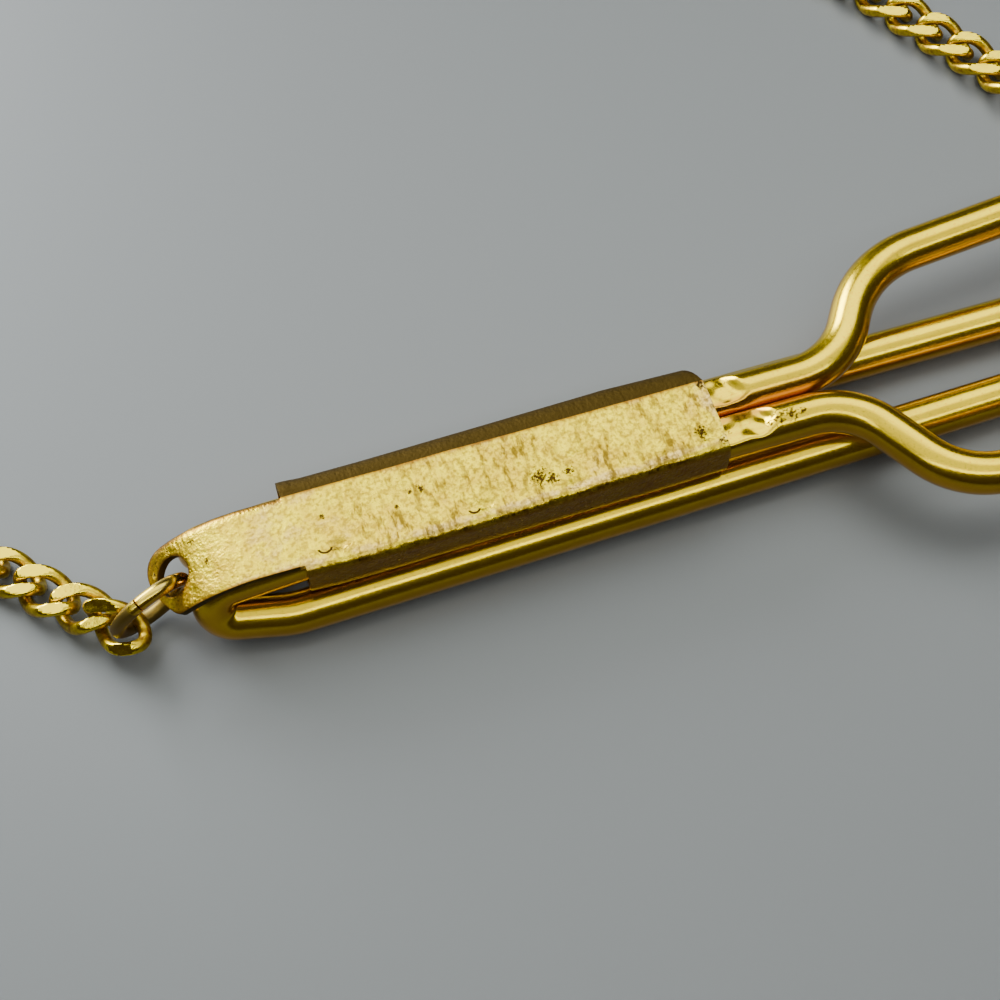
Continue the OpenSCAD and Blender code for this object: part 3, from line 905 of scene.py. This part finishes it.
class TIECLIP_OT_rings(bpy.types.Operator):
    """Builds the two jump rings, each open at a butt joint"""

    bl_idname = "tieclip.rings"
    bl_label = "Jump rings"

    def execute(self, context):
        settings = context.scene.tieclip_chain
        gilding = gilt_wire("Tarnished gilt jump ring", settings.ring_colour, stains_and_shade=RING_STAINS_AND_SHADE)
        for node, centre, radius, azimuth, elevation, joint in RINGS:
            path = ring_points(centre, radius, azimuth, elevation, joint)
            ring = make_tube("gilt_" + node, path, False, settings.ring_wire / 2, RING_SIDES, gilding)
            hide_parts(node)
            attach(ring, "root")
        return {"FINISHED"}


def route_at(t):
    """A point of the smooth curve through the route."""
    last = len(ROUTE) - 1
    k = min(int(t), last - 1)
    f = t - k
    a, b, c, d = (Vector(ROUTE[i]) for i in (max(k - 1, 0), k, k + 1, min(k + 2, last)))
    square = 2 * a - 5 * b + 4 * c - d
    cube = 3 * b - a - 3 * c + d
    return 0.5 * (2 * b + (c - a) * f + square * f * f + cube * f ** 3)


def link_poses(count):
    """Centre, roll, tilt and heading of each link, evenly spaced along the route."""
    fine = [route_at(k / 40) for k in range(40 * (len(ROUTE) - 1) + 1)]
    length = sum((b - a).length for a, b in zip(fine, fine[1:]))
    pitch = length / (count - 1)
    t, ts = 0.0, [0.0]
    for _ in range(count - 1):
        # Each round scales the step, until the next link is one pitch away
        guess = t + 0.4
        for _ in range(6):
            guess = t + (guess - t) * pitch / (route_at(guess) - route_at(t)).length
        t = guess
        ts.append(t)
    poses = []
    for t in ts[len(FIRST_LINKS):-len(LAST_LINKS)]:
        here, way = route_at(t), route_at(t + 0.02) - route_at(t - 0.02)
        tilt = math.degrees(math.atan2(way.z, math.hypot(way.x, way.y)))
        poses.append((*here, 0, tilt, math.degrees(math.atan2(way.y, way.x))))
    return FIRST_LINKS + poses + LAST_LINKS


def link_mesh(wire):
    """One curb link: a squared oval whose ends are twisted opposite ways, filed flat above and below."""
    around, sides = LINK_STEPS, LINK_SIDES
    centre = []
    for i in range(around):
        a = 2 * math.pi * i / around
        x = LINK_HALF_L * math.copysign(abs(math.cos(a)) ** 0.9, math.cos(a))
        twist = math.radians(LINK_TWIST * x / LINK_HALF_L)
        y = LINK_HALF_W * math.sin(a)
        centre.append(Vector((x, y * math.cos(twist), y * math.sin(twist))))
    points, faces, side_marks = [], [], []
    for i in range(around):
        here = centre[i]
        way = (centre[(i + 1) % around] - centre[i - 1]).normalized()
        out = (here - way * here.dot(way)).normalized()
        side = out.cross(way)
        for j in range(sides):
            a = 2 * math.pi * (j + 0.5) / sides
            p = here + wire / 2 * (math.cos(a) * out + math.sin(a) * side)
            deeper = max(0.0, -math.copysign(1, p.z) * math.sin(2 * math.pi * i / around))
            limit = FACET_Z - FACET_DEEPER * deeper
            # How far a point lies off the filed faces, for the painted shade on the rounded sides
            side_marks.append(0.0 if abs(p.z) > limit - 0.02 else min(1.0, (limit - abs(p.z)) / 0.25))
            if abs(p.z) > limit:
                p.z = math.copysign(limit, p.z)
            points.append(p * MM)
        for j in range(sides):
            i2, j2 = (i + 1) % around, (j + 1) % sides
            faces.append((i * sides + j, i2 * sides + j, i2 * sides + j2, i * sides + j2))
    mesh = bpy.data.meshes.new("link")
    mesh.from_pydata(points, [], faces)
    marks = mesh.attributes.new("side", "FLOAT", "POINT")
    marks.data.foreach_set("value", side_marks)
    mesh.update()
    # The filed faces are flat, and the rest of the wire is shaded round
    for face in mesh.polygons:
        filed = all(abs(abs(mesh.vertices[v].co.z) / MM - FACET_Z) < 0.1 for v in face.vertices)
        face.use_smooth = not (filed and abs(face.normal.z) > 0.97)
    return mesh


def chain_tree(name, link, material):
    """Geometry Nodes: a link on each point, turned by the point's own rotation."""
    tree = bpy.data.node_groups.new(name, "GeometryNodeTree")
    ports = tree.interface
    ports.new_socket("Points", in_out="INPUT", socket_type="NodeSocketGeometry")
    size = ports.new_socket("Link size", in_out="INPUT", socket_type="NodeSocketFloat")
    ports.new_socket("Geometry", in_out="OUTPUT", socket_type="NodeSocketGeometry")
    start = add_node(tree, "NodeGroupInput").outputs
    source = add_node(tree, "GeometryNodeObjectInfo", {"Object": link})
    turn = add_node(tree, "GeometryNodeInputNamedAttribute", {"Name": "turn"}, data_type="FLOAT_VECTOR")
    spin = add_node(tree, "FunctionNodeEulerToRotation", {"Euler": turn.outputs["Attribute"]})
    placed = add_node(tree, "GeometryNodeInstanceOnPoints", {
        "Points": start["Points"], "Instance": source.outputs["Geometry"],
        "Rotation": spin.outputs["Rotation"], "Scale": start["Link size"]})
    end_tree(tree, placed.outputs["Instances"], material)
    return tree, size.identifier


class TIECLIP_OT_chain(bpy.types.Operator):
    """Builds the curb chain, one link on each point of its route"""

    bl_idname = "tieclip.chain"
    bl_label = "Curb chain"

    def execute(self, context):
        settings = context.scene.tieclip_chain
        poses = link_poses(settings.links)
        link = add_object("link", link_mesh(settings.link_wire / MM))
        mesh = bpy.data.meshes.new("chain_points")
        mesh.from_pydata([to_frame(p[:3]) for p in poses], [], [])
        turns = mesh.attributes.new("turn", "FLOAT_VECTOR", "POINT")
        for i, (_, _, _, roll, tilt, heading) in enumerate(poses):
            turns.data[i].vector = (math.radians(roll), math.radians(-tilt), math.radians(heading))
        chain = add_object("gilt_chain", mesh)
        gilding = polished_chain("Polished gilt curb chain", settings.colour)
        tree, size = chain_tree("chain_nodes", link, gilding)
        modifier = chain.modifiers.new("Links", "NODES")
        modifier.node_group = tree
        modifier[size] = 1.0
        apply_modifiers(chain)
        bpy.data.objects.remove(link)
        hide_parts("chain")
        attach(chain, "root")
        return {"FINISHED"}


# The stage

# Half the floor's side in metres
FLOOR_REACH = 1.5
# The dim warm room round the stage, as linear light
ROOM_LIGHT = (0.045, 0.033, 0.026, 1)
# The soft lights: name, place, target, width and length, watts, and colour as linear light. Places,
# targets and sizes are in the clip's millimetres.
LIGHTS = [
    ("overhead softbox", (15, 68, 110), (15, 68, 0), (180, 100), 0.165, (1.0, 1.0, 0.93)),
    ("overhead fill", (15, -18, 110), (15, -18, 0), (180, 70), 0.046, (1.0, 1.0, 0.93)),
    ("left fill", (-118, 40, 110), (-118, 40, 0), (85, 160), 0.03, (1.0, 1.0, 0.96)),
    ("front strip softbox", (-10, -66, 110), (-10, -66, 0), (220, 14), 0.07, (1.0, 1.0, 0.96)),
    ("window", (-105, 195, 100), (-5, 0, 0), (150, 110), 0.95, (1.0, 1.0, 1.0)),
]
# The photo's viewpoint, in degrees and the clip's millimetres
CAMERA_ELEVATION = 63.505
CAMERA_AZIMUTH = -17.55
CAMERA_TARGET = (-7.367, 0.4985, 0)
CAMERA_DISTANCE = 65.98


def add_area(name, place, target, size, power, colour):
    """A soft rectangular light at place, turned towards target, both in the clip's millimetres."""
    light = bpy.data.lights.new(name, "AREA")
    light.shape = "RECTANGLE"
    light.size = size[0] * MM
    light.size_y = size[1] * MM
    light.energy = power
    light.color = colour
    lamp = add_object(name, light)
    lamp.location = to_frame(place)
    lamp.rotation_euler = (to_frame(target) - to_frame(place)).to_track_quat("-Z", "Y").to_euler()


def add_floor(colour):
    """The board that the clip lies on. Its paint has a satin sheen, so the eye sees a soft bright
    sweep towards the window and no sharp reflection of the clip."""
    corners = [(x * FLOOR_REACH, y * FLOOR_REACH, 0) for x, y in ((-1, -1), (1, -1), (1, 1), (-1, 1))]
    mesh = bpy.data.meshes.new("floor")
    mesh.from_pydata(corners, [], [(0, 1, 2, 3)])
    floor = add_object("floor", mesh)
    material, _, shader, _ = new_material("Satin grey board")
    shader.inputs["Base Color"].default_value = tuple(colour)
    shader.inputs["Roughness"].default_value = 0.48
    shader.inputs["Metallic"].default_value = 0.4
    mesh.materials.append(material)


def add_camera(lens):
    """The camera at the photo's viewpoint."""
    camera = bpy.data.cameras.new("camera")
    camera.lens = lens
    camera.sensor_width = 36
    camera.clip_start = 0.001
    eye = add_object("camera", camera)
    turn = Euler((math.radians(90 - CAMERA_ELEVATION), 0, math.radians(CAMERA_AZIMUTH)))
    eye.rotation_euler = turn
    eye.location = to_frame(CAMERA_TARGET) + turn.to_matrix() @ Vector((0, 0, CAMERA_DISTANCE * MM))
    return eye


class TIECLIP_OT_stage(bpy.types.Operator):
    """Adds the pale floor, the soft studio lights and the camera"""

    bl_idname = "tieclip.stage"
    bl_label = "Stage, lights and camera"

    def execute(self, context):
        settings = context.scene.tieclip_stage
        add_floor(settings.floor_colour)
        world = bpy.data.worlds.new("Studio")
        world.use_nodes = True
        world.node_tree.nodes["Background"].inputs["Color"].default_value = ROOM_LIGHT
        context.scene.world = world
        for light in LIGHTS:
            add_area(*light)
        context.scene.camera = add_camera(settings.lens)
        return {"FINISHED"}


class TIECLIP_PT_panel(bpy.types.Panel):
    """Lists the clip's settings and the operators that build it"""

    bl_idname = "TIECLIP_PT_panel"
    bl_label = "Tie clip"
    bl_space_type = "VIEW_3D"
    bl_region_type = "UI"
    bl_category = "Tie clip"

    def draw(self, context):
        for group in GROUPS:
            settings = getattr(context.scene, "tieclip_" + group)
            for key in settings.__annotations__:
                self.layout.prop(settings, key)
        for operator in OPERATORS:
            self.layout.operator(operator.bl_idname)


GROUPS = {"wire": WireSettings, "sleeve": SleeveSettings, "chain": ChainSettings, "stage": StageSettings}
OPERATORS = (
    TIECLIP_OT_stage, TIECLIP_OT_spring_wire, TIECLIP_OT_sleeve, TIECLIP_OT_rings, TIECLIP_OT_chain)
CLASSES = (*GROUPS.values(), *OPERATORS, TIECLIP_PT_panel)


def register():
    for cls in CLASSES:
        bpy.utils.register_class(cls)
    for group, cls in GROUPS.items():
        setattr(bpy.types.Scene, "tieclip_" + group, PointerProperty(type=cls))


def unregister():
    for group in GROUPS:
        delattr(bpy.types.Scene, "tieclip_" + group)
    for cls in reversed(CLASSES):
        bpy.utils.unregister_class(cls)


def main():
    register()
    bpy.ops.tieclip.stage()
    bpy.ops.tieclip.spring_wire()
    bpy.ops.tieclip.sleeve()
    bpy.ops.tieclip.rings()
    bpy.ops.tieclip.chain()


if __name__ == "__main__":
    main()
